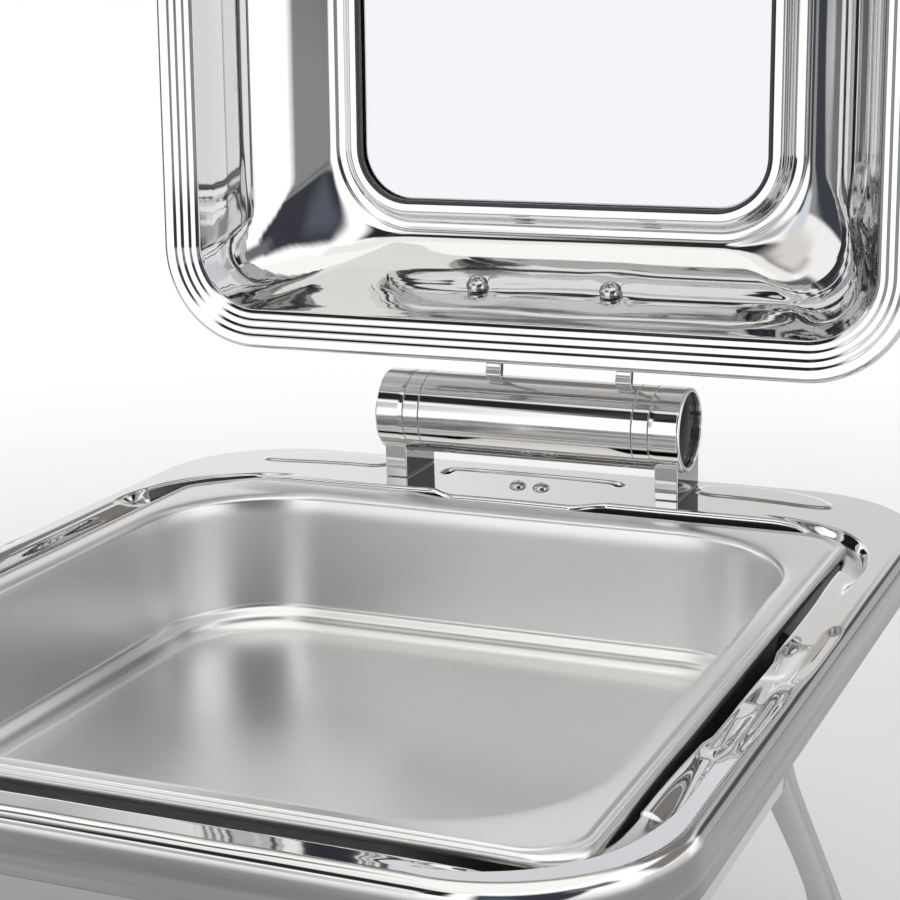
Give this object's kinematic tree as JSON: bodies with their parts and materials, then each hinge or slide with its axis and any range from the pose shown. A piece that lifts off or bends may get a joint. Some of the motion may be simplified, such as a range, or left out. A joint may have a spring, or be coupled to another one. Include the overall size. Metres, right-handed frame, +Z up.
{
  "type": "chafing dish",
  "caption": "Countertop chafing dish: satin food pan in a polished deck over a water pan, soft-close hinged lid with a glass window, splayed-leg stand and gel burner.",
  "frame": {"origin": "centre of the bounding box footprint, on the table plane under the feet", "axes": "+X to the right seen from the guest side, +Y towards the hinge, +Z up; lid drawn open"},
  "size_m": [0.384, 0.4732, 0.649],
  "materials": {
    "polished_steel": "mirror polished stainless sheet with fine handling marks",
    "satin_steel": "satin stainless, fine even grain",
    "barrel_steel": "mirror polished turned stainless",
    "bare_steel": "plain 2B mill finish",
    "fastener_steel": "polished stainless fasteners",
    "spring_steel": "oiled spring wire",
    "black_plastic": "glossy black moulding",
    "bearing_plastic": "natural acetal",
    "damper_plastic": "matt dark moulding",
    "gasket_rubber": "satin black silicone",
    "foot_rubber": "matt black rubber",
    "window_glass": "clear tempered glass",
    "can_tinplate": "bare tinplate, lacquered",
    "gel": "translucent pink gel"
  },
  "bodies": {
    "stand": {"stand_ring": "polished_steel", "leg_front_left": "polished_steel", "leg_front_right": "polished_steel", "leg_rear_left": "polished_steel", "leg_rear_right": "polished_steel", "foot_front_left": "foot_rubber", "foot_front_right": "foot_rubber", "foot_rear_left": "foot_rubber", "foot_rear_right": "foot_rubber", "leg_rivets": "fastener_steel", "burner_shelf": "polished_steel"},
    "deck": {"deck_frame": "polished_steel", "water_pan": "bare_steel", "hinge_bracket_left": "polished_steel", "hinge_bracket_right": "polished_steel", "end_cap_left": "barrel_steel", "end_cap_right": "barrel_steel", "end_plug_left": "black_plastic", "end_plug_right": "black_plastic", "barrel_ring_left": "barrel_steel", "barrel_ring_right": "barrel_steel", "hinge_shaft": "bare_steel", "torsion_spring": "spring_steel", "damper_rotor": "damper_plastic", "hinge_backing_plate": "bare_steel", "bracket_bolts": "fastener_steel", "deck_screws": "fastener_steel", "deck_nuts": "fastener_steel"},
    "lid": {"lid_shell": "polished_steel", "window_glass": "window_glass", "window_gasket": "gasket_rubber", "window_trim": "polished_steel", "hinge_sleeve": "barrel_steel", "lid_arm_left": "polished_steel", "lid_arm_right": "polished_steel", "arm_screws": "fastener_steel", "bearing_bush_left": "bearing_plastic", "bearing_bush_right": "bearing_plastic", "damper_housing": "damper_plastic", "handle_bar": "polished_steel", "handle_post_left": "polished_steel", "handle_post_right": "polished_steel", "handle_screws": "fastener_steel", "handle_washers": "fastener_steel"},
    "food_pan": {"food_pan": "satin_steel"},
    "burner": {"burner_cup": "polished_steel", "fuel_can": "can_tinplate", "fuel_gel": "gel", "cover_pin": "fastener_steel"},
    "burner_cover": {"burner_cover": "polished_steel"}
  },
  "joints": [
    {"name": "lid_hinge", "type": "hinge", "parent": "deck", "child": "lid", "pos_m": [0, 0.19137, 0.2378], "axis": [1, 0, 0], "range_deg": [0, 91.6]},
    {"name": "food_pan_lift", "type": "slide", "parent": "deck", "child": "food_pan", "axis": [0, 0, 1], "range_m": [0, 0.004]},
    {"name": "deck_lift", "type": "slide", "parent": "stand", "child": "deck", "axis": [0, 0, 1], "range_m": [0, 0.12]},
    {"name": "burner_lift", "type": "slide", "parent": "stand", "child": "burner", "axis": [0, 0, 1], "range_m": [0, 0.036]},
    {"name": "cover_swing", "type": "hinge", "parent": "burner", "child": "burner_cover", "pos_m": [-0.0476, -0.02864, 0.062], "axis": [0, 0, 1], "range_deg": [0, 100]}
  ]
}
